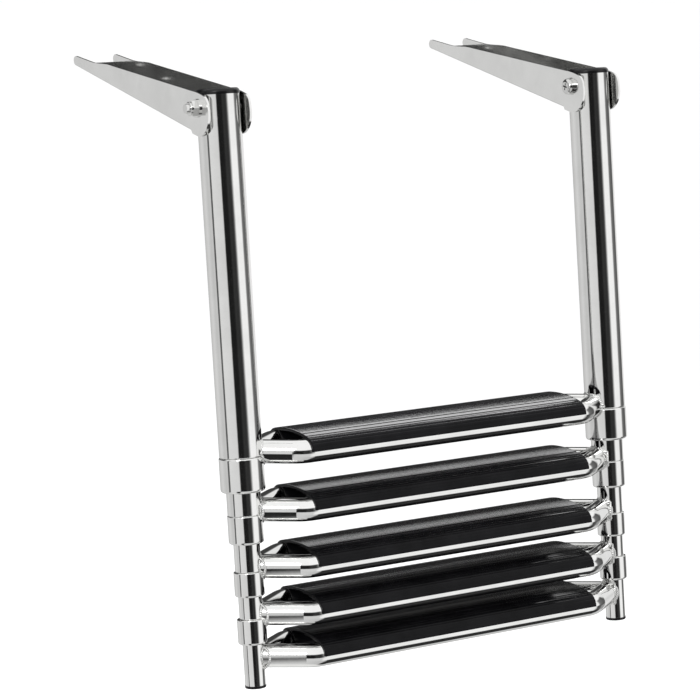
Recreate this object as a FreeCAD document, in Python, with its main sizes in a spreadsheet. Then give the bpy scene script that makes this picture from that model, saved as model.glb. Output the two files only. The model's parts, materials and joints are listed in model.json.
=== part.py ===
import FreeCAD, Part
import math, os
import Sketcher
from FreeCAD import Vector, Rotation, Placement

# Telescoping boarding ladder, five treads, two hinged deck brackets.
# Row frame: origin at the centre of the left bracket's underside, +X along the
# treads, +Y back over the deck, +Z up. All sizes in millimetres.
# Ladder frame: origin at the left pivot, Z up along the uprights, leaned
# outward by 'lean' degrees in the row frame.

os.makedirs("parts", exist_ok=True)
doc = FreeCAD.newDocument("ladder")
sheet = doc.addObject("Spreadsheet::Sheet", "Sizes")

SIZES = [
    ("spacing", 393.5),          # between the two uprights
    ("lean", 16.5),              # ladder lean from square to the deck, degrees
    ("pivot_back", 143.0),       # hole pattern centre to pivot
    ("pivot_high", 21.5),        # deck face to pivot
    ("top_above", 11.0),         # pivot to the top of the widest tube
    # tubes: outside diameter, wall
    ("od_one", 38.0), ("wall_one", 1.5),
    ("od_two", 30.0), ("wall_two", 1.0),
    ("od_three", 23.2), ("wall_three", 1.0),
    ("od_four", 20.8), ("wall_four", 1.0),
    ("od_five", 18.4), ("wall_five", 1.0),
    # tube tops and collar seams, measured down from the top of the widest tube
    ("head_two", 24.0), ("head_three", 25.0), ("head_four", 26.0), ("head_five", 27.0),
    ("seam_one", 313.4), ("seam_two", 364.2), ("seam_three", 414.0), ("seam_four", 455.6),
    ("foot_level", 514.3),
    ("swage_two", 34.4), ("swage_three", 27.6), ("swage_long", 10.0),
    # collars: outside diameter, bore, length, edge rounding
    ("ring_one", 39.2), ("hole_one", 30.4), ("deep_one", 30.2), ("soft_one", 2.6),
    ("ring_two", 30.8), ("hole_two", 23.6), ("deep_two", 24.9), ("soft_two", 2.2),
    ("ring_three", 26.2), ("hole_three", 21.2), ("deep_three", 21.6), ("soft_three", 1.8),
    ("ring_four", 25.6), ("hole_four", 18.8), ("deep_four", 22.1), ("soft_four", 2.0),
    ("soft_upper", 0.8), ("seam_soft", 1.2), ("seam_soft_small", 0.8),
    # end caps and foot plugs
    ("cap_thick", 5.0), ("cap_spigot", 4.5), ("cap_soft", 3.2),
    ("plug_thick", 2.5), ("plug_spigot", 12.0), ("plug_soft", 1.0), ("plug_od", 18.9),
    # rung loops
    ("rung_od", 21.0), ("rung_wall", 1.2), ("rung_half", 26.5), ("rung_bend", 20.0),
    ("rung_corner", 46.0),
    ("rung_tilt", 4.5),
    ("level_one", 310.2), ("level_two", 361.0), ("level_three", 410.8),
    ("level_four", 452.4), ("level_five", 489.9),
    # treads
    ("tread_long", 293.0), ("tread_drop", 1.0), ("clip_wall", 1.8), ("clip_room", 0.6),
    # brackets
    ("sheet_thick", 2.0), ("inside_wide", 38.5), ("reach", 240.0),
    ("stop_edge", 14.2), ("nose", 4.2), ("base_bend", 1.8),
    ("hole_dia", 8.4), ("hole_near", 26.0), ("hole_far", 78.0),
    # pivot hardware
    ("bolt_dia", 8.0), ("bolt_room", 8.1), ("head_dia", 14.4), ("head_high", 4.6),
    ("washer_dia", 16.0), ("washer_thick", 1.4), ("nut_flats", 13.0), ("nut_high", 6.8), ("nut_hex", 5.0), ("nut_crown", 11.4),
    ("bolt_spare", 3.0), ("slot_half", 3.3), ("slot_arm", 0.7), ("slot_deep", 2.0),
]
for i, (name, value) in enumerate(SIZES):
    sheet.set("A%d" % (i + 1), name)
    sheet.set("B%d" % (i + 1), repr(value))
    sheet.setAlias("B%d" % (i + 1), name)
doc.recompute()


def val(name):
    return float(sheet.get(name))


S = val("spacing")
LEAN = val("lean")
LADDER = Placement(Vector(0, -val("pivot_back"), val("pivot_high")), Rotation(Vector(1, 0, 0), -LEAN))
TOP = val("top_above")
EXPORT = []


def in_ladder(x, y, z, tilt=0.0, turn=0.0):
    local = Placement(Vector(x, y, z), Rotation(Vector(1, 0, 0), tilt).multiply(Rotation(Vector(0, 0, 1), turn)))
    return LADDER.multiply(local)


def body(label):
    b = doc.addObject("PartDesign::Body", "body_" + label)
    b.Label = label
    return b


def plane(b, role):
    for f in b.Origin.OriginFeatures:
        if f.Role == role:
            return f
    raise RuntimeError("no plane " + role)


def sketch(b, name, role, lift=None):
    s = b.newObject("Sketcher::SketchObject", name)
    s.AttachmentSupport = [(plane(b, role), "")]
    s.MapMode = "FlatFace"
    if lift is not None:
        s.setExpression("AttachmentOffset.Base.z", lift)
    return s


def circle(s, expr, cx=0.0, cy=0.0, exprx=None, expry=None):
    g = s.addGeometry(Part.Circle(Vector(cx, cy, 0), Vector(0, 0, 1), 5.0), False)
    if exprx is None and expry is None and cx == 0 and cy == 0:
        s.addConstraint(Sketcher.Constraint("Coincident", g, 3, -1, 1))
    else:
        if exprx is None:
            s.addConstraint(Sketcher.Constraint("PointOnObject", g, 3, -2))
        else:
            n = s.addConstraint(Sketcher.Constraint("DistanceX", -1, 1, g, 3, cx))
            s.setExpression("Constraints[%d]" % n, exprx)
        if expry is None:
            s.addConstraint(Sketcher.Constraint("PointOnObject", g, 3, -1))
        else:
            n = s.addConstraint(Sketcher.Constraint("DistanceY", -1, 1, g, 3, cy))
            s.setExpression("Constraints[%d]" % n, expry)
    n = s.addConstraint(Sketcher.Constraint("Radius", g, 5.0))
    s.setExpression("Constraints[%d]" % n, expr)
    return g


def pad(b, name, s, expr, reverse=False):
    p = b.newObject("PartDesign::Pad", name)
    p.Profile = s
    p.Length = 10
    p.setExpression("Length", expr)
    p.Reversed = reverse
    s.Visibility = False
    b.Tip = p
    return p


def cut_through(b, name, s):
    p = b.newObject("PartDesign::Pocket", name)
    p.Profile = s
    p.Type = "ThroughAll"
    p.Midplane = True
    s.Visibility = False
    b.Tip = p
    return p


def ring_edges(shape, radius, level, tol=1e-2):
    names = []
    for i, e in enumerate(shape.Edges):
        c = e.Curve
        if c.TypeId == "Part::GeomCircle" and abs(c.Radius - radius) < tol and abs(c.Center.z - level) < tol \
                and abs(abs(c.Axis.z) - 1) < tol:
            names.append("Edge%d" % (i + 1))
    if not names:
        raise RuntimeError("no edge at %g %g" % (radius, level))
    return names


def soften(b, name, names, expr):
    base = b.Tip
    f = b.newObject("PartDesign::Fillet", name)
    f.Base = (base, names)
    f.Radius = 1
    f.setExpression("Radius", expr)
    b.Tip = f
    return f


WORD = {1: "one", 2: "two", 3: "three", 4: "four", 5: "five"}
SIDES = [("left", 0.0, 1.0), ("right", S, -1.0)]

# ---------------------------------------------------------------- tubes
for k in range(1, 6):
    w = WORD[k]
    top = 0.0 if k == 1 else val("head_" + w)
    bottom = val("foot_level") if k == 5 else val("seam_" + w)
    low = "Sizes.foot_level" if k == 5 else "Sizes.seam_" + w
    high = "0 mm" if k == 1 else "Sizes.head_" + w
    length = low + " - " + high if k > 1 else low
    for side, x, sign in SIDES:
        b = body(("upper_tube_%s" % side) if k == 1 else ("tube_%d_%s" % (k, side)))
        s = sketch(b, "ring_%d_%s" % (k, side), "XY_Plane")
        circle(s, "Sizes.od_%s / 2" % w)
        circle(s, "Sizes.od_%s / 2 - Sizes.wall_%s" % (w, w))
        pad(b, "run_%d_%s" % (k, side), s, length)
        if k == 1:
            h = sketch(b, "pivot_hole_%s" % side, "YZ_Plane")
            circle(h, "Sizes.bolt_room / 2", 0.0, 300.0, None, "Sizes.seam_one - Sizes.top_above")
            cut_through(b, "pivot_cut_%s" % side, h)
        if k in (2, 3):
            h = sketch(b, "swage_%d_%s" % (k, side), "XY_Plane",
                       "Sizes.seam_%s - Sizes.head_%s - Sizes.swage_long" % (w, w))
            circle(h, "Sizes.swage_%s / 2" % w)
            circle(h, "Sizes.od_%s / 2 - Sizes.wall_%s" % (w, w))
            pad(b, "swage_run_%d_%s" % (k, side), h, "Sizes.swage_long")
        if k < 5:
            doc.recompute()
            soften(b, "run_foot_%d_%s" % (k, side), ring_edges(b.Tip.Shape, val("od_" + w) / 2, 0.0),
                   "Sizes.seam_soft" if k == 1 else "Sizes.seam_soft_small")
        b.Placement = in_ladder(x, 0, TOP - bottom)
        EXPORT.append(b)

# ---------------------------------------------------------------- caps and plugs
for side, x, sign in SIDES:
    b = body("top_cap_%s" % side)
    s = sketch(b, "cap_disc_%s" % side, "XY_Plane")
    circle(s, "Sizes.od_one / 2")
    pad(b, "cap_pad_%s" % side, s, "Sizes.cap_thick")
    s = sketch(b, "cap_plug_%s" % side, "XY_Plane")
    circle(s, "Sizes.od_one / 2 - Sizes.wall_one")
    pad(b, "cap_spigot_%s" % side, s, "Sizes.cap_spigot", True)
    doc.recompute()
    soften(b, "cap_edge_%s" % side, ring_edges(b.Tip.Shape, val("od_one") / 2, val("cap_thick")), "Sizes.cap_soft")
    b.Placement = in_ladder(x, 0, TOP)
    EXPORT.append(b)

    b = body("foot_plug_%s" % side)
    s = sketch(b, "foot_disc_%s" % side, "XY_Plane")
    circle(s, "Sizes.plug_od / 2")
    pad(b, "foot_pad_%s" % side, s, "Sizes.plug_thick", True)
    s = sketch(b, "foot_plug_sketch_%s" % side, "XY_Plane")
    circle(s, "Sizes.od_five / 2 - Sizes.wall_five")
    pad(b, "foot_spigot_%s" % side, s, "Sizes.plug_spigot")
    doc.recompute()
    soften(b, "foot_edge_%s" % side, ring_edges(b.Tip.Shape, val("plug_od") / 2, -val("plug_thick")), "Sizes.plug_soft")
    b.Placement = in_ladder(x, 0, TOP - val("foot_level"))
    EXPORT.append(b)

# ---------------------------------------------------------------- collars
for k in range(1, 5):
    w = WORD[k]
    for side, x, sign in SIDES:
        b = body("collar_%d_%s" % (k, side))
        s = sketch(b, "collar_ring_%d_%s" % (k, side), "XY_Plane")
        circle(s, "Sizes.ring_%s / 2" % w)
        circle(s, "Sizes.hole_%s / 2" % w)
        pad(b, "collar_run_%d_%s" % (k, side), s, "Sizes.deep_%s" % w, True)
        doc.recompute()
        doc.recompute()
        soften(b, "collar_low_%d_%s" % (k, side), ring_edges(b.Tip.Shape, val("ring_" + w) / 2, -val("deep_" + w)),
               "Sizes.soft_%s" % w)
        doc.recompute()
        soften(b, "collar_high_%d_%s" % (k, side), ring_edges(b.Tip.Shape, val("ring_" + w) / 2, 0.0),
               "Sizes.seam_soft" if k == 1 else "Sizes.soft_upper")
        b.Placement = in_ladder(x, 0, TOP - val("seam_" + w))
        EXPORT.append(b)

# ---------------------------------------------------------------- rung loops
START = {1: 13.5, 2: 11.5, 3: 9.8, 4: 9.2, 5: 8.6}
for k in range(1, 6):
    w = WORD[k]
    half = S / 2
    a = val("rung_half")
    xc = half - val("rung_corner")
    xe = half - START[k]
    bend = val("rung_bend")
    ang = math.atan2(a, xe - xc)
    t = bend * math.tan(ang / 2)
    ux, uy = math.cos(ang), math.sin(ang)
    p0 = Vector(0, -a, 0)
    p1 = Vector(xc - t, -a, 0)
    p2 = Vector(xc + t * ux, -a + t * uy, 0)
    p3 = Vector(xe, 0, 0)
    cen = Vector(xc - t, -a + bend, 0)
    mid = cen + Vector(math.sin(ang / 2), -math.cos(ang / 2), 0) * bend
    b = body("loop_%d" % k)
    path = sketch(b, "path_%d" % k, "XY_Plane")
    path.addGeometry(Part.LineSegment(p0, p1), False)
    path.addGeometry(Part.Arc(p1, mid, p2), False)
    path.addGeometry(Part.LineSegment(p2, p3), False)
    path.addConstraint(Sketcher.Constraint("Coincident", 0, 2, 1, 1))
    path.addConstraint(Sketcher.Constraint("Coincident", 1, 2, 2, 1))
    prof = sketch(b, "tube_%d" % k, "YZ_Plane")
    circle(prof, "Sizes.rung_od / 2", -a, 0.0, "-Sizes.rung_half", None)
    circle(prof, "Sizes.rung_od / 2 - Sizes.rung_wall", -a, 0.0, "-Sizes.rung_half", None)
    pipe = b.newObject("PartDesign::AdditivePipe", "pipe_%d" % k)
    pipe.Profile = prof
    pipe.Spine = (path, ["Edge1", "Edge2", "Edge3"])
    b.Tip = pipe
    doc.recompute()
    multi = b.newObject("PartDesign::MultiTransform", "loop_all_%d" % k)
    multi.Originals = [pipe]
    m1 = b.newObject("PartDesign::Mirrored", "across_%d" % k)
    m1.MirrorPlane = (plane(b, "YZ_Plane"), [""])
    m2 = b.newObject("PartDesign::Mirrored", "front_back_%d" % k)
    m2.MirrorPlane = (plane(b, "XZ_Plane"), [""])
    multi.Transformations = [m1, m2]
    b.Tip = multi
    doc.recompute()
    zr = TOP - val("level_" + w)
    b.Placement = Placement(Vector(half, 0, zr), Rotation(Vector(1, 0, 0), val("rung_tilt")))
    tools = []
    for side, x, sign in SIDES:
        c = doc.addObject("Part::Cylinder", "upright_%d_%s" % (k, side))
        c.setExpression("Radius", "Sizes.od_%s / 2" % w)
        c.Height = 120
        c.Placement = Placement(Vector(x, 0, zr - 60), Rotation())
        tools.append(c)
        if k < 5:
            c = doc.addObject("Part::Cylinder", "sleeve_%d_%s" % (k, side))
            c.setExpression("Radius", "Sizes.ring_%s / 2" % w)
            c.Height = 40
            c.Placement = Placement(Vector(x, 0, TOP - val("seam_" + w) - 40), Rotation())
            tools.append(c)
    fuse = doc.addObject("Part::MultiFuse", "uprights_%d" % k)
    fuse.Shapes = tools
    cutter = doc.addObject("Part::Cut", "rung_%d" % k)
    cutter.Base = b
    cutter.Tool = fuse
    cutter.Label = "rung_%d" % k
    cutter.Placement = LADDER
    EXPORT.append(cutter)

# ---------------------------------------------------------------- treads
ARCH_HALF = [(0.0, 14.5), (9.0, 14.2), (18.0, 13.4), (27.0, 11.7), (33.5, 9.4), (37.2, 5.9), (38.6, 2.4), (39.0, 0.0)]
INNER_HALF = [(0.0, 11.6), (9.0, 11.4), (17.5, 10.7), (26.0, 9.4), (31.6, 7.8), (34.8, 5.0), (36.3, 2.0), (36.6, 0.0)]
ARCH = [(-u, v) for u, v in reversed(ARCH_HALF)] + ARCH_HALF[1:]
INNER = [(-u, v) for u, v in reversed(INNER_HALF)] + INNER_HALF[1:]


def arch_sketch(b, name, points, role="YZ_Plane"):
    s = sketch(b, name, role)
    curve = Part.BSplineCurve()
    curve.interpolate([Vector(p[0], p[1], 0) for p in points])
    g = s.addGeometry(curve, False)
    h = s.addGeometry(Part.LineSegment(Vector(points[-1][0], points[-1][1], 0), Vector(points[0][0], points[0][1], 0)),
                      False)
    s.addConstraint(Sketcher.Constraint("Coincident", g, 2, h, 1))
    s.addConstraint(Sketcher.Constraint("Coincident", h, 2, g, 1))
    return s


def clip_sketch(b, name, cx, cy, r_in, r_out, a_outer, a_inner, side):
    s = sketch(b, name, "YZ_Plane")

    def at(r, deg):
        d = math.radians(deg)
        return Vector(cx + side * r * math.cos(d), cy + r * math.sin(d), 0)
    mid = (a_outer + a_inner) / 2.0
    s.addGeometry(Part.Arc(at(r_out, a_outer), at(r_out, mid), at(r_out, a_inner)), False)
    s.addGeometry(Part.LineSegment(at(r_out, a_inner), at(r_in, a_inner)), False)
    s.addGeometry(Part.Arc(at(r_in, a_inner), at(r_in, mid), at(r_in, a_outer)), False)
    s.addGeometry(Part.LineSegment(at(r_in, a_outer), at(r_out, a_outer)), False)
    return s


for k in range(1, 6):
    w = WORD[k]
    b = body("tread_%d" % k)
    s = arch_sketch(b, "tread_outer_%d" % k, ARCH)
    pad(b, "tread_run_%d" % k, s, "Sizes.tread_long")
    doc.recompute()
    s = arch_sketch(b, "tread_inner_%d" % k, INNER)
    cut_through(b, "tread_hollow_%d" % k, s)
    doc.recompute()
    for n, side in (("rear", 1.0), ("front", -1.0)):
        s = clip_sketch(b, "clip_%s_%d" % (n, k), side * val("rung_half"), -val("tread_drop"),
                        val("rung_od") / 2 - 1.0, val("rung_od") / 2 + val("clip_wall"), 6.0, 205.0, side)
        pad(b, "clip_run_%s_%d" % (n, k), s, "Sizes.tread_long")
        doc.recompute()
    s = sketch(b, "groove_%d" % k, "YZ_Plane")
    circle(s, "Sizes.rung_od / 2 + Sizes.clip_room", val("rung_half"), -val("tread_drop"), "Sizes.rung_half", "-Sizes.tread_drop")
    circle(s, "Sizes.rung_od / 2 + Sizes.clip_room", -val("rung_half"), -val("tread_drop"), "-Sizes.rung_half", "-Sizes.tread_drop")
    cut_through(b, "groove_cut_%d" % k, s)
    doc.recompute()
    tilt = math.radians(val("rung_tilt"))
    d = val("tread_drop")
    b.Placement = in_ladder((S - val("tread_long")) / 2, -d * math.sin(tilt),
                            TOP - val("level_" + w) + d * math.cos(tilt), val("rung_tilt"))
    EXPORT.append(b)

# ---------------------------------------------------------------- brackets
UP = val("pivot_high")


def flange_sketch(b, name, lift):
    # side outline: u back from the pivot, v up from the deck face
    s = sketch(b, name, "YZ_Plane", lift)
    V = lambda u, v: Vector(u, v, 0)
    s.addGeometry(Part.LineSegment(V(6.0, 0.0), V(236.5, 0.0)), False)
    s.addGeometry(Part.Arc(V(236.5, 0.0), V(238.9, 1.9), V(240.0, 4.3)), False)
    s.addGeometry(Part.Arc(V(240.0, 4.3), V(238.6, 7.8), V(235.0, 9.1)), False)
    s.addGeometry(Part.LineSegment(V(235.0, 9.1), V(206.0, 11.3)), False)
    curve = Part.BSplineCurve()
    curve.interpolate([V(206.0, 11.3), V(196.0, 12.5), V(186.0, 14.4), V(176.0, 16.4), V(164.0, 17.9)])
    s.addGeometry(curve, False)
    s.addGeometry(Part.LineSegment(V(164.0, 17.9), V(10.0, 33.9)), False)
    s.addGeometry(Part.Arc(V(10.0, 33.9), V(0.0, 34.8), V(-9.0, 34.6)), False)
    s.addGeometry(Part.Arc(V(-9.0, 34.6), V(-15.6, 32.2), V(-18.8, 27.0)), False)
    s.addGeometry(Part.Arc(V(-18.8, 27.0), V(-21.4, 15.0), V(-13.5, 1.4)), False)
    s.addGeometry(Part.Arc(V(-13.5, 1.4), V(-9.0, -0.9), V(-3.5, -1.8)), False)
    s.addGeometry(Part.LineSegment(V(-3.5, -1.8), V(4.2, -1.8)), False)
    s.addGeometry(Part.LineSegment(V(4.2, -1.8), V(6.0, 0.0)), False)
    for i in range(12):
        s.addConstraint(Sketcher.Constraint("Coincident", i, 2, (i + 1) % 12, 1))
    return s


for side, x, sign in SIDES:
    b = body("bracket_%s" % side)
    s = sketch(b, "base_%s" % side, "XY_Plane")
    hw = val("inside_wide") / 2 + val("sheet_thick")
    e = val("stop_edge")
    end = val("reach") - val("nose")
    pts = [Vector(-hw, e, 0), Vector(hw, e, 0), Vector(hw, end, 0), Vector(-hw, end, 0)]
    for i in range(4):
        s.addGeometry(Part.LineSegment(pts[i], pts[(i + 1) % 4]), False)
    for i in range(4):
        s.addConstraint(Sketcher.Constraint("Coincident", i, 2, (i + 1) % 4, 1))
    s.addConstraint(Sketcher.Constraint("Vertical", 1))
    s.addConstraint(Sketcher.Constraint("Horizontal", 2))
    s.addConstraint(Sketcher.Constraint("Vertical", 3))
    s.addConstraint(Sketcher.Constraint("Symmetric", 0, 1, 0, 2, -2))
    n = s.addConstraint(Sketcher.Constraint("Distance", 0, 2 * hw))
    s.setExpression("Constraints[%d]" % n, "Sizes.inside_wide + 2 * Sizes.sheet_thick")
    n = s.addConstraint(Sketcher.Constraint("DistanceY", -1, 1, 0, 1, e))
    s.setExpression("Constraints[%d]" % n, "Sizes.stop_edge")
    n = s.addConstraint(Sketcher.Constraint("DistanceY", -1, 1, 1, 2, end))
    s.setExpression("Constraints[%d]" % n, "Sizes.reach - Sizes.nose")
    pad(b, "base_pad_%s" % side, s, "Sizes.sheet_thick")
    s = flange_sketch(b, "flange_a_%s" % side, "Sizes.inside_wide / 2")
    pad(b, "flange_a_pad_%s" % side, s, "Sizes.sheet_thick")
    s = flange_sketch(b, "flange_b_%s" % side, "-Sizes.inside_wide / 2 - Sizes.sheet_thick")
    pad(b, "flange_b_pad_%s" % side, s, "Sizes.sheet_thick")
    doc.recompute()
    # rounded outer bends along the base
    names = []
    for i, ed in enumerate(b.Tip.Shape.Edges):
        bb = ed.BoundBox
        if abs(abs(bb.XMin) - hw) < 1e-3 and bb.XLength < 1e-3 and bb.ZMax < 1e-3 and bb.ZMin > -1e-3 and bb.YLength > 100:
            names.append("Edge%d" % (i + 1))
    if len(names) >= 2:
        soften(b, "bend_%s" % side, names, "Sizes.base_bend")
        doc.recompute()
    # deck holes
    s = sketch(b, "deck_holes_%s" % side, "XY_Plane")
    pb = val("pivot_back")
    for off, ex in ((-val("hole_far"), "Sizes.pivot_back - Sizes.hole_far"),
                    (-val("hole_near"), "Sizes.pivot_back - Sizes.hole_near"),
                    (val("hole_near"), "Sizes.pivot_back + Sizes.hole_near"),
                    (val("hole_far"), "Sizes.pivot_back + Sizes.hole_far")):
        circle(s, "Sizes.hole_dia / 2", 0.0, pb + off, None, ex)
    cut_through(b, "deck_cut_%s" % side, s)
    # pivot holes in both flanges
    s = sketch(b, "pivot_eye_%s" % side, "YZ_Plane")
    circle(s, "Sizes.bolt_dia / 2", 0.0, UP, None, "Sizes.pivot_high")
    cut_through(b, "pivot_eye_cut_%s" % side, s)
    b.Placement = Placement(Vector(x, -val("pivot_back"), 0), Rotation())
    EXPORT.append(b)

    # pivot bolt: axis along X, head towards the middle of the ladder
    turn = Rotation(Vector(0, 1, 0), 90 * sign)
    b = body("pivot_bolt_%s" % side)
    s = sketch(b, "head_ring_%s" % side, "XY_Plane",
               "Sizes.inside_wide / 2 + Sizes.sheet_thick + Sizes.washer_thick")
    circle(s, "Sizes.head_dia / 2")
    pad(b, "head_pad_%s" % side, s, "Sizes.head_high")
    s = sketch(b, "shank_%s" % side, "XY_Plane",
               "Sizes.inside_wide / 2 + Sizes.sheet_thick + Sizes.washer_thick")
    circle(s, "Sizes.bolt_dia / 2")
    pad(b, "shank_run_%s" % side, s,
        "Sizes.inside_wide + 2 * Sizes.sheet_thick + 2 * Sizes.washer_thick + Sizes.nut_high + Sizes.bolt_spare", True)
    doc.recompute()
    lvl = val("inside_wide") / 2 + val("sheet_thick") + val("washer_thick") + val("head_high")
    soften(b, "head_dome_%s" % side, ring_edges(b.Tip.Shape, val("head_dia") / 2, lvl), "Sizes.head_high * 0.7")
    s = sketch(b, "cross_%s" % side, "XY_Plane",
               "Sizes.inside_wide / 2 + Sizes.sheet_thick + Sizes.washer_thick + Sizes.head_high")
    arm, long = val("slot_arm"), val("slot_half")
    quarter = [(long, -arm), (long, arm), (arm, arm)]
    cross = [Vector(u, v, 0) for u, v in quarter] + [Vector(-v, u, 0) for u, v in quarter] \
        + [Vector(-u, -v, 0) for u, v in quarter] + [Vector(v, -u, 0) for u, v in quarter]
    for i in range(12):
        s.addGeometry(Part.LineSegment(cross[i], cross[(i + 1) % 12]), False)
    q = b.newObject("PartDesign::Pocket", "cross_cut_%s" % side)
    q.Profile = s
    q.Length = 2
    q.setExpression("Length", "Sizes.slot_deep")
    s.Visibility = False
    b.Tip = q
    b.Placement = Placement(Vector(x, -val("pivot_back"), UP), turn)
    EXPORT.append(b)

    for tag, lift in (("inner", "Sizes.inside_wide / 2 + Sizes.sheet_thick"),
                      ("outer", "-Sizes.inside_wide / 2 - Sizes.sheet_thick - Sizes.washer_thick")):
        b = body("washer_%s_%s" % (tag, side))
        s = sketch(b, "washer_ring_%s_%s" % (tag, side), "XY_Plane", lift)
        circle(s, "Sizes.washer_dia / 2")
        circle(s, "Sizes.bolt_dia / 2")
        pad(b, "washer_pad_%s_%s" % (tag, side), s, "Sizes.washer_thick")
        b.Placement = Placement(Vector(x, -val("pivot_back"), UP), turn)
        EXPORT.append(b)

    b = body("pivot_nut_%s" % side)
    s = sketch(b, "nut_hex_%s" % side, "XY_Plane",
               "-Sizes.inside_wide / 2 - Sizes.sheet_thick - Sizes.washer_thick - Sizes.nut_hex")
    rc = val("nut_flats") / math.sqrt(3)
    hexp = [Vector(rc * math.cos(math.radians(60 * i + 12)), rc * math.sin(math.radians(60 * i + 12)), 0) for i in range(6)]
    for i in range(6):
        s.addGeometry(Part.LineSegment(hexp[i], hexp[(i + 1) % 6]), False)
    circle(s, "Sizes.bolt_dia / 2")
    pad(b, "nut_pad_%s" % side, s, "Sizes.nut_hex")
    s = sketch(b, "nut_crown_%s" % side, "XY_Plane",
               "-Sizes.inside_wide / 2 - Sizes.sheet_thick - Sizes.washer_thick - Sizes.nut_high")
    circle(s, "Sizes.nut_crown / 2")
    circle(s, "Sizes.bolt_dia / 2")
    pad(b, "nut_crown_pad_%s" % side, s, "Sizes.nut_high - Sizes.nut_hex")
    doc.recompute()
    out = val("inside_wide") / 2 + val("sheet_thick") + val("washer_thick")
    soften(b, "nut_round_%s" % side, ring_edges(b.Tip.Shape, val("nut_crown") / 2, -out - val("nut_high")), "0.8 mm")
    b.Placement = Placement(Vector(x, -val("pivot_back"), UP), turn)
    EXPORT.append(b)

doc.recompute()

# ---------------------------------------------------------------- checks and export
bad = []
for o in doc.Objects:
    if "Invalid" in o.State or "Error" in o.State:
        bad.append((o.Name, o.State))
for o in EXPORT:
    if o.Shape.isNull() or not o.Shape.isValid():
        bad.append((o.Label, "shape"))
    elif len(o.Shape.Solids) != 1:
        bad.append((o.Label, "solids", len(o.Shape.Solids)))
if bad:
    raise RuntimeError("bad: %s" % bad)
for o in EXPORT:
    o.Shape.exportStep("parts/%s.step" % o.Label)
    bb = o.Shape.BoundBox
    print("%-20s vol %9.1f  x %7.1f %7.1f  y %7.1f %7.1f  z %7.1f %7.1f" % (
        o.Label, o.Shape.Volume, bb.XMin, bb.XMax, bb.YMin, bb.YMax, bb.ZMin, bb.ZMax))
print("nodes", len(EXPORT))
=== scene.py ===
import bpy, bmesh, math, json
from mathutils import Vector, Matrix

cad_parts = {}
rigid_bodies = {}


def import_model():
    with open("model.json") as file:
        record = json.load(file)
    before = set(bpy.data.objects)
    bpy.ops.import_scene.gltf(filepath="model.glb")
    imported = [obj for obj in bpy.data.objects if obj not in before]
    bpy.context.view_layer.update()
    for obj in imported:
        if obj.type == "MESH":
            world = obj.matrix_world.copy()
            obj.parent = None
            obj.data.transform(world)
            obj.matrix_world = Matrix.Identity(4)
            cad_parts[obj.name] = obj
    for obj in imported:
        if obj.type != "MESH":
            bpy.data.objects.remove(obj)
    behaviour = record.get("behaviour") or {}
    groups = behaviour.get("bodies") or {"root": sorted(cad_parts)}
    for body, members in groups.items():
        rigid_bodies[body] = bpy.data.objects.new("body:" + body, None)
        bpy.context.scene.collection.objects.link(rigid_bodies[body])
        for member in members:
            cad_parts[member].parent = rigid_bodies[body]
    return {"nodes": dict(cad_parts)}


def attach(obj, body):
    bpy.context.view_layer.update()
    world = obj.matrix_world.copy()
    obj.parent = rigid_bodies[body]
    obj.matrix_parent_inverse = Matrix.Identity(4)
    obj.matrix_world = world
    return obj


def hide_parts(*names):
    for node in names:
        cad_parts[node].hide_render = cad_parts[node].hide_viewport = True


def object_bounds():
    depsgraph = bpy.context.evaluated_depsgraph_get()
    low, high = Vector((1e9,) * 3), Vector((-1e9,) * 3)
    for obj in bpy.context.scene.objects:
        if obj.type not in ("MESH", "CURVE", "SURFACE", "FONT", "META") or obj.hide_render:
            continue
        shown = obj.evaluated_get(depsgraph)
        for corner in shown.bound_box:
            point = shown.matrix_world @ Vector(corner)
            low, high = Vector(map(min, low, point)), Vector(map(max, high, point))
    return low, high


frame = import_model()
nodes = frame["nodes"]
cad_lo, cad_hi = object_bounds()
scene = bpy.context.scene
scene.view_settings.view_transform = "Standard"

# ---------------------------------------------------------------- camera
RIGHT = Vector((0.8518509675, -0.5159182025, 0.0904341611))
LOOK = Vector((0.5142875323, 0.7911165659, -0.3311237130)).normalized()
UP = RIGHT.cross(LOOK).normalized()
RIGHT = LOOK.cross(UP).normalized()
EYE = Vector((-1.0764805, -2.0422919, 0.5782908))
cam_data = bpy.data.cameras.new("camera")
cam = bpy.data.objects.new("camera", cam_data)
scene.collection.objects.link(cam)
m = Matrix.Identity(4)
for i in range(3):
    m[i][0], m[i][1], m[i][2], m[i][3] = RIGHT[i], UP[i], -LOOK[i], EYE[i]
cam.matrix_world = m
cam_data.sensor_width = 36.0
cam_data.lens = 134.61
cam_data.shift_x = -0.0011
cam_data.clip_end = 50
scene.camera = cam

# ---------------------------------------------------------------- real sizes, metres
SPACING = 0.3935
LEAN = math.radians(16.5)
LADDER = Matrix.Translation((0, -0.143, 0.0215)) @ Matrix.Rotation(-LEAN, 4, "X")
TOP = 0.011
LEVEL = {1: 0.3102, 2: 0.3610, 3: 0.4108, 4: 0.4524, 5: 0.4899}
SEAM = {1: 0.3134, 2: 0.3642, 3: 0.4140, 4: 0.4556}
TUBE_R = {1: 0.0190, 2: 0.0150, 3: 0.0116, 4: 0.0104, 5: 0.0092}
RING_R = {1: 0.0196, 2: 0.0154, 3: 0.0131, 4: 0.0128}
RUNG_R = 0.0105
RUNG_HALF = 0.0265
RUNG_CORNER = 0.046
START = {1: 0.0135, 2: 0.0115, 3: 0.0098, 4: 0.0092, 5: 0.0086}
TILT = math.radians(4.5)
TREAD_LONG = 0.293
DROP = 0.0010


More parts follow.
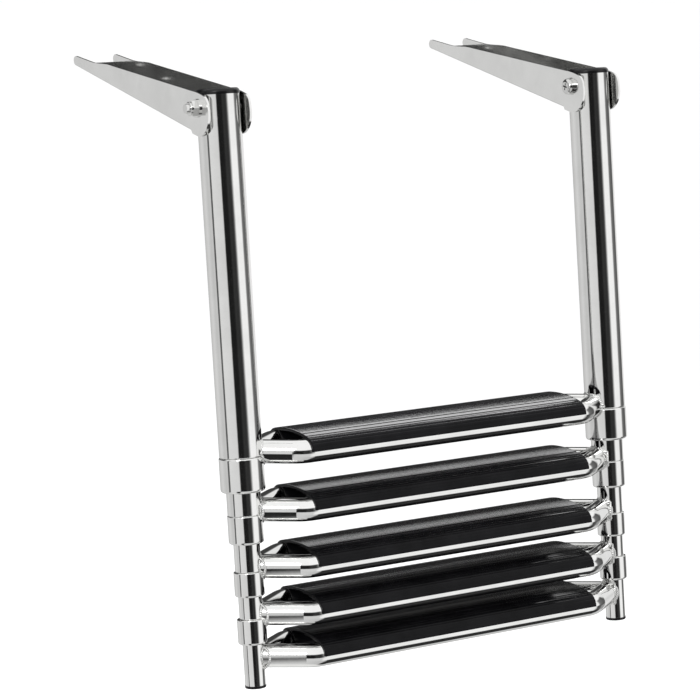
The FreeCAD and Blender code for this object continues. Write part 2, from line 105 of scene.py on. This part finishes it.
# ---------------------------------------------------------------- material helpers
def new_mat(name):
    mat = bpy.data.materials.new(name)
    mat.use_nodes = True
    nt = mat.node_tree
    nt.nodes.clear()
    out = nt.nodes.new("ShaderNodeOutputMaterial")
    bsdf = nt.nodes.new("ShaderNodeBsdfPrincipled")
    nt.links.new(bsdf.outputs[0], out.inputs["Surface"])
    return mat, nt, bsdf


def node(nt, kind, **inputs):
    n = nt.nodes.new(kind)
    for k, v in inputs.items():
        n.inputs[k.replace("_", " ")].default_value = v
    return n


def coords(nt, turn=(0, 0, 0), scale=(1, 1, 1)):
    tc = nt.nodes.new("ShaderNodeTexCoord")
    mp = nt.nodes.new("ShaderNodeMapping")
    mp.inputs["Rotation"].default_value = turn
    mp.inputs["Scale"].default_value = scale
    nt.links.new(tc.outputs["Object"], mp.inputs["Vector"])
    return mp.outputs["Vector"]


def spread(nt, value, lo, hi, lo_in=0.0, hi_in=1.0):
    r = nt.nodes.new("ShaderNodeMapRange")
    r.inputs["From Min"].default_value = lo_in
    r.inputs["From Max"].default_value = hi_in
    r.inputs["To Min"].default_value = lo
    r.inputs["To Max"].default_value = hi
    nt.links.new(value, r.inputs["Value"])
    return r.outputs["Result"]


def two_tone(nt, value, dark, light, a=0.0, b=1.0):
    ramp = nt.nodes.new("ShaderNodeValToRGB")
    e = ramp.color_ramp.elements
    e[0].position, e[1].position = a, b
    e[0].color = tuple(dark) + (1,)
    e[1].color = tuple(light) + (1,)
    nt.links.new(value, ramp.inputs["Fac"])
    return ramp.outputs["Color"]


def bump(nt, height, strength, distance, after=None):
    b = nt.nodes.new("ShaderNodeBump")
    b.inputs["Strength"].default_value = strength
    b.inputs["Distance"].default_value = distance
    nt.links.new(height, b.inputs["Height"])
    if after is not None:
        nt.links.new(after, b.inputs["Normal"])
    return b.outputs["Normal"]


def steel(name, dark, light, lo, hi, turn, grain, wave=0.0, smear=0.25):
    """Polished stainless: fine streaks along the length, faint stains, very low roughness."""
    mat, nt, b = new_mat(name)
    b.inputs["Metallic"].default_value = 1.0
    streak = node(nt, "ShaderNodeTexNoise", Scale=1.0, Detail=3.0, Roughness=0.55)
    nt.links.new(coords(nt, turn, grain), streak.inputs["Vector"])
    cloud = node(nt, "ShaderNodeTexNoise", Scale=26.0, Detail=5.0, Roughness=0.6)
    nt.links.new(coords(nt), cloud.inputs["Vector"])
    mixed = nt.nodes.new("ShaderNodeMath")
    mixed.operation = "MULTIPLY_ADD"
    nt.links.new(streak.outputs["Fac"], mixed.inputs[0])
    mixed.inputs[1].default_value = smear
    nt.links.new(spread(nt, cloud.outputs["Fac"], 0.0, 1.0 - smear), mixed.inputs[2])
    nt.links.new(spread(nt, mixed.outputs[0], lo, hi, 0.3, 0.7), b.inputs["Roughness"])
    nt.links.new(two_tone(nt, cloud.outputs["Fac"], dark, light, 0.35, 0.6), b.inputs["Base Color"])
    n = bump(nt, streak.outputs["Fac"], 0.05, 0.0002)
    if wave:
        slow = node(nt, "ShaderNodeTexNoise", Scale=22.0, Detail=1.0)
        nt.links.new(coords(nt), slow.inputs["Vector"])
        n = bump(nt, slow.outputs["Fac"], wave, 0.001, n)
    nt.links.new(n, b.inputs["Normal"])
    return mat


def plastic(name, dark, light, lo, hi, grain, depth=0.12, shine=0.5):
    """Moulded black plastic: fine pitted skin with slightly worn, greyer patches."""
    mat, nt, b = new_mat(name)
    b.inputs["Specular IOR Level"].default_value = shine
    skin = node(nt, "ShaderNodeTexNoise", Scale=1.0, Detail=4.0, Roughness=0.65)
    nt.links.new(coords(nt, (0, 0, 0), grain), skin.inputs["Vector"])
    cloud = node(nt, "ShaderNodeTexNoise", Scale=34.0, Detail=4.0, Roughness=0.6)
    nt.links.new(coords(nt), cloud.inputs["Vector"])
    nt.links.new(two_tone(nt, cloud.outputs["Fac"], dark, light, 0.35, 0.7), b.inputs["Base Color"])
    nt.links.new(spread(nt, skin.outputs["Fac"], lo, hi, 0.3, 0.7), b.inputs["Roughness"])
    nt.links.new(bump(nt, skin.outputs["Fac"], depth, 0.0002), b.inputs["Normal"])
    return mat


ALONG = (LEAN, 0, 0)
TUBE = steel("polished_tube", (0.80, 0.80, 0.79), (0.86, 0.86, 0.85), 0.035, 0.08, ALONG, (420, 420, 6), 0.0)
RUNG = steel("polished_rung", (0.80, 0.80, 0.79), (0.86, 0.86, 0.85), 0.04, 0.09, (0, 0, 0), (6, 420, 420), 0.05)
BRACKET = steel("polished_sheet", (0.78, 0.78, 0.77), (0.84, 0.84, 0.83), 0.09, 0.17, (0, 0, 0), (380, 7, 380), 0.12)
BOLT = steel("turned_steel", (0.66, 0.66, 0.65), (0.78, 0.78, 0.77), 0.05, 0.12, (0, 0, 0), (60, 900, 900), 0.03)
WELD = steel("weld_bead", (0.70, 0.70, 0.69), (0.88, 0.88, 0.87), 0.07, 0.2, (0, 0, 0), (300, 300, 300), 0.3)
TREAD = plastic("ribbed_plastic", (0.003, 0.003, 0.0035), (0.007, 0.007, 0.008), 0.11, 0.16, (25, 500, 500), 0.008, 0.10)
CAP = plastic("gloss_plastic", (0.003, 0.003, 0.0035), (0.008, 0.008, 0.009), 0.20, 0.32, (1800, 1800, 1800), 0.06, 0.35)


def dress(name, mat):
    o = nodes[name]
    o.data.materials.clear()
    o.data.materials.append(mat)


for name in nodes:
    if name.startswith("tread"):
        dress(name, TREAD)
    elif name.startswith(("top_cap", "foot_plug")):
        dress(name, CAP)
    elif name.startswith("bracket"):
        dress(name, BRACKET)
    elif name.startswith(("pivot", "washer")):
        dress(name, BOLT)
    elif name.startswith("rung"):
        dress(name, RUNG)
    else:
        dress(name, TUBE)


# ---------------------------------------------------------------- mesh helpers
def piece(name, verts, faces, mat, body, smooth=True):
    me = bpy.data.meshes.new(name)
    me.from_pydata([tuple(v) for v in verts], [], faces)
    me.validate()
    bm = bmesh.new()
    bm.from_mesh(me)
    bmesh.ops.recalc_face_normals(bm, faces=bm.faces)
    bm.to_mesh(me)
    bm.free()
    me.materials.append(mat)
    for f in me.polygons:
        f.use_smooth = smooth
    o = bpy.data.objects.new(name, me)
    scene.collection.objects.link(o)
    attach(o, body)
    return o


def sharp_by_angle(o, degrees):
    me = o.data
    bm = bmesh.new()
    bm.from_mesh(me)
    for e in bm.edges:
        if len(e.link_faces) == 2 and e.calc_face_angle(0.0) > math.radians(degrees):
            e.smooth = False
    bm.to_mesh(me)
    bm.free()


def spline(points, per):
    """Natural cubic through the points, by chord length; returns positions and unit normals."""
    n = len(points)
    t = [0.0]
    for a, b in zip(points, points[1:]):
        t.append(t[-1] + math.dist(a, b))

    def cubic(vals):
        h = [t[i + 1] - t[i] for i in range(n - 1)]
        al = [0.0] + [3 * (vals[i + 1] - vals[i]) / h[i] - 3 * (vals[i] - vals[i - 1]) / h[i - 1] for i in range(1, n - 1)] + [0.0]
        l, mu, z = [1.0] * n, [0.0] * n, [0.0] * n
        for i in range(1, n - 1):
            l[i] = 2 * (t[i + 1] - t[i - 1]) - h[i - 1] * mu[i - 1]
            mu[i] = h[i] / l[i]
            z[i] = (al[i] - h[i - 1] * z[i - 1]) / l[i]
        c = [0.0] * n
        b, d = [0.0] * n, [0.0] * n
        for j in range(n - 2, -1, -1):
            c[j] = z[j] - mu[j] * c[j + 1]
            b[j] = (vals[j + 1] - vals[j]) / h[j] - h[j] * (c[j + 1] + 2 * c[j]) / 3
            d[j] = (c[j + 1] - c[j]) / (3 * h[j])

        def f(s):
            i = min(n - 2, max(0, next((k for k in range(n - 1) if s <= t[k + 1]), n - 2)))
            u = s - t[i]
            return vals[i] + b[i] * u + c[i] * u * u + d[i] * u ** 3, b[i] + 2 * c[i] * u + 3 * d[i] * u * u
        return f
    fx, fy = cubic([p[0] for p in points]), cubic([p[1] for p in points])
    out = []
    for k in range(per + 1):
        s = t[-1] * k / per
        (x, dx), (y, dy) = fx(s), fy(s)
        g = math.hypot(dx, dy)
        out.append((x, y, -dy / g, dx / g, s))
    return out


# ---------------------------------------------------------------- treads
HALF = [(0.0, 14.5), (9.0, 14.2), (18.0, 13.4), (27.0, 11.7), (33.5, 9.4), (37.2, 5.9), (38.6, 2.4), (39.0, 0.0)]
ARCH = [(-u, v) for u, v in reversed(HALF)] + HALF[1:]
RIBS = 24
STEPS = 16


def rib_height(s, total):
    """Depth of the fine grooves below the crest line at arc position s, in millimetres."""
    pitch = total / RIBS
    q = abs(s / pitch - math.floor(s / pitch) - 0.5) / 0.5
    depth = 0.34 if s < total * 0.24 or s > total * 0.80 else 0.05
    down = depth * max(0.0, (q - 0.55) / 0.45)
    down += 0.40 * math.exp(-((s - total * 0.285) / 0.55) ** 2)
    edge = min(s, total - s)
    return down * min(1.0, edge / 1.5)


def tread_section():
    crest = spline(ARCH, RIBS * STEPS)
    total = crest[-1][4]
    outer, inner = [], []
    for x, y, nx, ny, s in crest:
        d = rib_height(s, total)
        outer.append((x - nx * d, y - ny * d, nx, ny))
        wall = 2.9
        edge = min(s, total - s)
        if edge < 2.0:
            wall = 2.2 + 0.7 * edge / 2.0
        inner.append((x - nx * wall, y - ny * wall, nx, ny))
    return outer, inner


OUTER, INNER = tread_section()


def ring_solid(loops, closed_section=True):
    """loops: list of equal-length vertex loops along the run; quads between them."""
    verts, faces = [], []
    n = len(loops[0])
    for lp in loops:
        verts += lp
    for a in range(len(loops) - 1):
        for i in range(n):
            j = (i + 1) % n
            faces.append((a * n + i, a * n + j, (a + 1) * n + j, (a + 1) * n + i))
    return verts, faces


def strip_caps(faces, start, n_outer, n_inner, flip):
    """End cap of a shell section whose loop is outer 0..n-1, then inner back."""
    n = n_outer
    total = n_outer + n_inner
    for i in range(n - 1):
        a, b = start + i, start + i + 1
        c, d = start + total - 1 - (i + 1), start + total - 1 - i
        faces.append((a, b, c, d) if flip else (d, c, b, a))


def to_row(k, x, u, v):
    """Tread section millimetres (u back, v up) at x metres, to the row frame."""
    y = -DROP * math.sin(TILT) + (u * math.cos(TILT) - v * math.sin(TILT)) / 1000
    z = TOP - LEVEL[k] + DROP * math.cos(TILT) + (u * math.sin(TILT) + v * math.cos(TILT)) / 1000
    return LADDER @ Vector((x, y, z))


X0, X1 = (SPACING - TREAD_LONG) / 2, (SPACING + TREAD_LONG) / 2
for k in range(1, 6):
    verts, faces = [], []
    runs = [(X0, 0.35), (X0 + 0.00035, 0.0), (X0 + 0.0012, 0.0)]
    runs += [(X0 + (X1 - X0) * i / 12, 0.0) for i in range(1, 12)]
    runs += [(X1 - 0.0012, 0.0), (X1 - 0.00035, 0.0), (X1, 0.35)]
    loops = []
    for x, inset in runs:
        lp = [to_row(k, x, a[0] - a[2] * inset, a[1] - a[3] * inset) for a in OUTER]
        lp += [to_row(k, x, a[0] + a[2] * inset, a[1] + a[3] * inset) for a in reversed(INNER)]
        loops.append(lp)
    verts, faces = ring_solid(loops)
    strip_caps(faces, 0, len(OUTER), len(INNER), False)
    strip_caps(faces, (len(loops) - 1) * len(loops[0]), len(OUTER), len(INNER), True)
    base = len(verts)
    # hooks round the two bars, and the bar seats
    for side in (1.0, -1.0):
        arc = []
        for i in range(37):
            a = math.radians(6 + (205 - 6) * i / 36)
            arc.append((math.cos(a), math.sin(a)))
        r_in, r_out = RUNG_R * 1000 + 0.6, RUNG_R * 1000 + 1.8
        hook = []
        for x, inset in ((X0 + 0.0001, 0.3), (X0 + 0.0005, 0.0), (X1 - 0.0005, 0.0), (X1 - 0.0001, 0.3)):
            lp = [to_row(k, x, side * (RUNG_HALF * 1000 + c * (r_out - inset)), -DROP * 1000 + s_ * (r_out - inset)) for c, s_ in arc]
            lp += [to_row(k, x, side * (RUNG_HALF * 1000 + c * (r_in + inset)), -DROP * 1000 + s_ * (r_in + inset)) for c, s_ in reversed(arc)]
            hook.append(lp)
        v2, f2 = ring_solid(hook)
        strip_caps(f2, 0, len(arc), len(arc), False)
        strip_caps(f2, 3 * len(hook[0]), len(arc), len(arc), True)
        off = len(verts)
        verts += v2
        faces += [tuple(i + off for i in f) for f in f2]
    o = piece("tread_cover_%d" % k, verts, faces, TREAD, "stage_%d" % k, True)
    sharp_by_angle(o, 50)
    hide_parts("tread_%d" % k)

# ---------------------------------------------------------------- weld beads
def weld_curve(k, x_up, side, fb):
    """Closed curve where a diagonal bar meets the upright; side +1 is the left upright, fb -1 the front bar."""
    half = SPACING / 2
    xc, xe = half - RUNG_CORNER, half - START[k]
    ang = math.atan2(RUNG_HALF, xe - xc)
    d = Vector((-side * math.cos(ang), -fb * math.sin(ang), 0))
    tilt = Matrix.Rotation(TILT, 3, "X")
    cx = x_up + side * START[k]
    p0 = Vector((cx, 0, TOP - LEVEL[k]))
    d = tilt @ d
    d.normalize()
    e1 = d.cross(Vector((0, 0, 1))).normalized()
    e2 = d.cross(e1).normalized()
    pts = []
    for i in range(72):
        a = 2 * math.pi * i / 72
        q = p0 + e1 * (RUNG_R * math.cos(a)) + e2 * (RUNG_R * math.sin(a))
        # walk back along the bar to the upright's surface
        ax, ay = q.x - x_up, q.y
        z = q.z
        seam = TOP - SEAM[k] if k in SEAM else None
        r = TUBE_R[k]
        if seam is not None and z < seam:
            r = RING_R[k]
        A = d.x * d.x + d.y * d.y
        B = ax * d.x + ay * d.y
        C = ax * ax + ay * ay - r * r
        disc = B * B - A * C
        if disc < 0:
            t = -B / A
        else:
            t = (-B - math.sqrt(disc)) / A
        pts.append(q + d * t)
    return pts


def bead(points, radius, x_up, k):
    """A rippled bead along a closed curve."""
    n = len(points)
    verts, faces = [], []
    sides = 8
    fine = []
    for i in range(n):
        a, b = points[i], points[(i + 1) % n]
        for j in range(4):
            fine.append(a.lerp(b, j / 4))
    n = len(fine)
    for i, c in enumerate(fine):
        tan = (fine[(i + 1) % n] - fine[i - 1]).normalized()
        radial = Vector((c.x - x_up, c.y, 0)).normalized()
        e1 = (radial - tan * radial.dot(tan)).normalized()
        e2 = tan.cross(e1)
        r = radius * (1.0 + 0.22 * abs(math.sin(i * math.pi / 7.0)))
        for j in range(sides):
            a = 2 * math.pi * j / sides
            verts.append(LADDER @ (c + e1 * (r * 0.8 * math.cos(a)) + e2 * (r * math.sin(a))))
        for j in range(sides):
            p, q = i * sides + j, i * sides + (j + 1) % sides
            p2, q2 = ((i + 1) % n) * sides + j, ((i + 1) % n) * sides + (j + 1) % sides
            faces.append((p, q, q2, p2))
    return verts, faces


for k in range(1, 6):
    for tag, x_up, side in (("left", 0.0, 1.0), ("right", SPACING, -1.0)):
        verts, faces = [], []
        for fb in (-1.0, 1.0):
            v2, f2 = bead(weld_curve(k, x_up, side, fb), 0.00115, x_up, k)
            off = len(verts)
            verts += v2
            faces += [tuple(i + off for i in f) for f in f2]
        piece("weld_%d_%s" % (k, tag), verts, faces, WELD, "stage_%d" % k, True)

# ---------------------------------------------------------------- floor
fl = bpy.data.meshes.new("floor")
bm = bmesh.new()
bmesh.ops.create_grid(bm, x_segments=1, y_segments=1, size=12.0)
bm.to_mesh(fl)
bm.free()
floor = bpy.data.objects.new("floor", fl)
floor.location = (0.2, 0.0, cad_lo.z - 1.05)  # below the ladder when it is drawn right out
scene.collection.objects.link(floor)
floor.visible_glossy = False
mat, nt, b = new_mat("pale_floor")
b.inputs["Base Color"].default_value = (0.90, 0.90, 0.90, 1)
b.inputs["Roughness"].default_value = 0.9
b.inputs["Specular IOR Level"].default_value = 0.0
fl.materials.append(mat)

# ---------------------------------------------------------------- studio surroundings
world = bpy.data.worlds.new("studio")
scene.world = world
world.use_nodes = True
nt = world.node_tree
nt.nodes.clear()
out = nt.nodes.new("ShaderNodeOutputWorld")
bg = nt.nodes.new("ShaderNodeBackground")
nt.links.new(bg.outputs[0], out.inputs["Surface"])
tc = nt.nodes.new("ShaderNodeTexCoord")
rot = nt.nodes.new("ShaderNodeMapping")
rot.inputs["Rotation"].default_value = (0, 0, math.radians(123.0))
nt.links.new(tc.outputs["Generated"], rot.inputs["Vector"])
around = nt.nodes.new("ShaderNodeTexGradient")
around.gradient_type = "RADIAL"
nt.links.new(rot.outputs["Vector"], around.inputs["Vector"])
sep = nt.nodes.new("ShaderNodeSeparateXYZ")
nt.links.new(tc.outputs["Generated"], sep.inputs["Vector"])


def walls(stops):
    """stops: (degrees from the front, positive to the right, grey or colour)."""
    ramp = nt.nodes.new("ShaderNodeValToRGB")
    ramp.color_ramp.interpolation = "LINEAR"
    e = ramp.color_ramp.elements
    while len(e) > 1:
        e.remove(e[-1])
    first = True
    for deg, c in stops:
        pos = deg / 360.0 + 0.5
        if first:
            el = e[0]
            el.position = pos
            first = False
        else:
            el = e.new(pos)
        el.color = (tuple(c) if isinstance(c, tuple) else (c, c, c)) + (1,)
    nt.links.new(around.outputs["Fac"], ramp.inputs["Fac"])
    return ramp.outputs["Color"]


LEFT = [(-85, 0.62), (-71, 0.66), (-67, 0.10), (-61, 0.08), (-57, 0.80)]
BAND = [(-10, 0.74), (-5, 0.012), (18, 0.012), (26, 0.035), (43, 0.03), (49, 0.12), (55, 0.62), (60, 1.02), (92, 1.0),
        (99, 0.24), (106, 0.16)]
BELOW = [(-28, 0.74), (-20, 0.02), (-7, 0.02), (-1, 0.70), (46, 0.70), (54, 0.98), (80, 0.98), (88, 0.05), (99, 0.10),
         (106, 0.14)]
deep = walls([(-180, 0.42), (-112, 0.74), (-85, 0.62), (-28, 0.74), (-20, 0.02), (-7, 0.02), (-1, 0.70), (46, 0.60),
              (60, 0.60), (67, 0.03), (106, 0.03), (116, 0.66), (150, 0.60), (180, 0.55)])
low = walls([(-180, 0.42), (-160, 0.55), (-112, 0.74)] + LEFT + BELOW
            + [(112, 0.34), (130, 0.36), (137, 0.84), (170, 0.84), (175, (0.38, 0.38, 0.35)), (180, 0.40)])
mid = walls([(-180, 0.05), (-156, 0.06), (-146, 0.60), (-112, 0.74)] + LEFT + BELOW
            + [(129, 0.10), (136, 0.88), (171, 0.88), (176, 0.06), (180, 0.05)])
high = walls([(-180, 0.05), (-104, 0.06), (-94, 0.5)] + LEFT + BAND
             + [(129, 0.10), (136, 0.88), (171, 0.88), (176, 0.06), (180, 0.05)])


def rise(lo, hi):
    r = nt.nodes.new("ShaderNodeMapRange")
    r.interpolation_type = "SMOOTHSTEP"
    r.inputs["From Min"].default_value = lo
    r.inputs["From Max"].default_value = hi
    nt.links.new(sep.outputs["Z"], r.inputs["Value"])
    return r.outputs["Result"]


def mix(fac, a, b):
    n = nt.nodes.new("ShaderNodeMix")
    n.data_type = "RGBA"
    nt.links.new(fac, n.inputs[0])
    for v, i in ((a, 6), (b, 7)):
        if isinstance(v, tuple):
            n.inputs[i].default_value = v + (1,)
        else:
            nt.links.new(v, n.inputs[i])
    return n.outputs[2]


c = mix(rise(-0.58, -0.50), deep, low)
c = mix(rise(-0.29, -0.23), c, mid)
c = mix(rise(-0.12, -0.06), c, high)
c = mix(rise(0.42, 0.56), c, (1.05, 1.05, 1.05))
c = mix(rise(-0.90, -0.97), c, (0.90, 0.90, 0.89))
path = nt.nodes.new("ShaderNodeLightPath")
c = mix(path.outputs["Is Glossy Ray"], (1.12, 1.12, 1.12), c)
nt.links.new(c, bg.inputs["Color"])
bg.inputs["Strength"].default_value = 1.0


def softbox(name, at, aim, w, h, power):
    d = bpy.data.lights.new(name, "AREA")
    d.shape = "RECTANGLE"
    d.size, d.size_y = w, h
    d.energy = power
    o = bpy.data.objects.new(name, d)
    o.location = at
    o.rotation_euler = (Vector(aim) - Vector(at)).to_track_quat("-Z", "Y").to_euler()
    scene.collection.objects.link(o)
    return o


MID = (0.2, -0.22, -0.25)
softbox("top_back", (1.05, 0.55, 1.05), MID, 1.3, 0.7, 60).visible_glossy = False
# two broad lights behind that only the treads pick up: one high for the top tread, one low for the others
for tag, wanted, z, tall, power in (("top", (1,), 0.885, 1.09, 56.0), ("rest", (2, 3, 4, 5), 0.57, 1.00, 27.0)):
    strip = softbox("back_strip_" + tag, (1.79, 2.294, z), (0.2, -0.25, z), 3.0, tall, power)
    strip.visible_camera = False
    covers = bpy.data.collections.new("tread_light_" + tag)
    for k in wanted:
        covers.objects.link(bpy.data.objects["tread_cover_%d" % k])
    strip.light_linking.receiver_collection = covers
softbox("front_left", (-1.9, -1.7, 1.6), MID, 1.0, 1.0, 14)
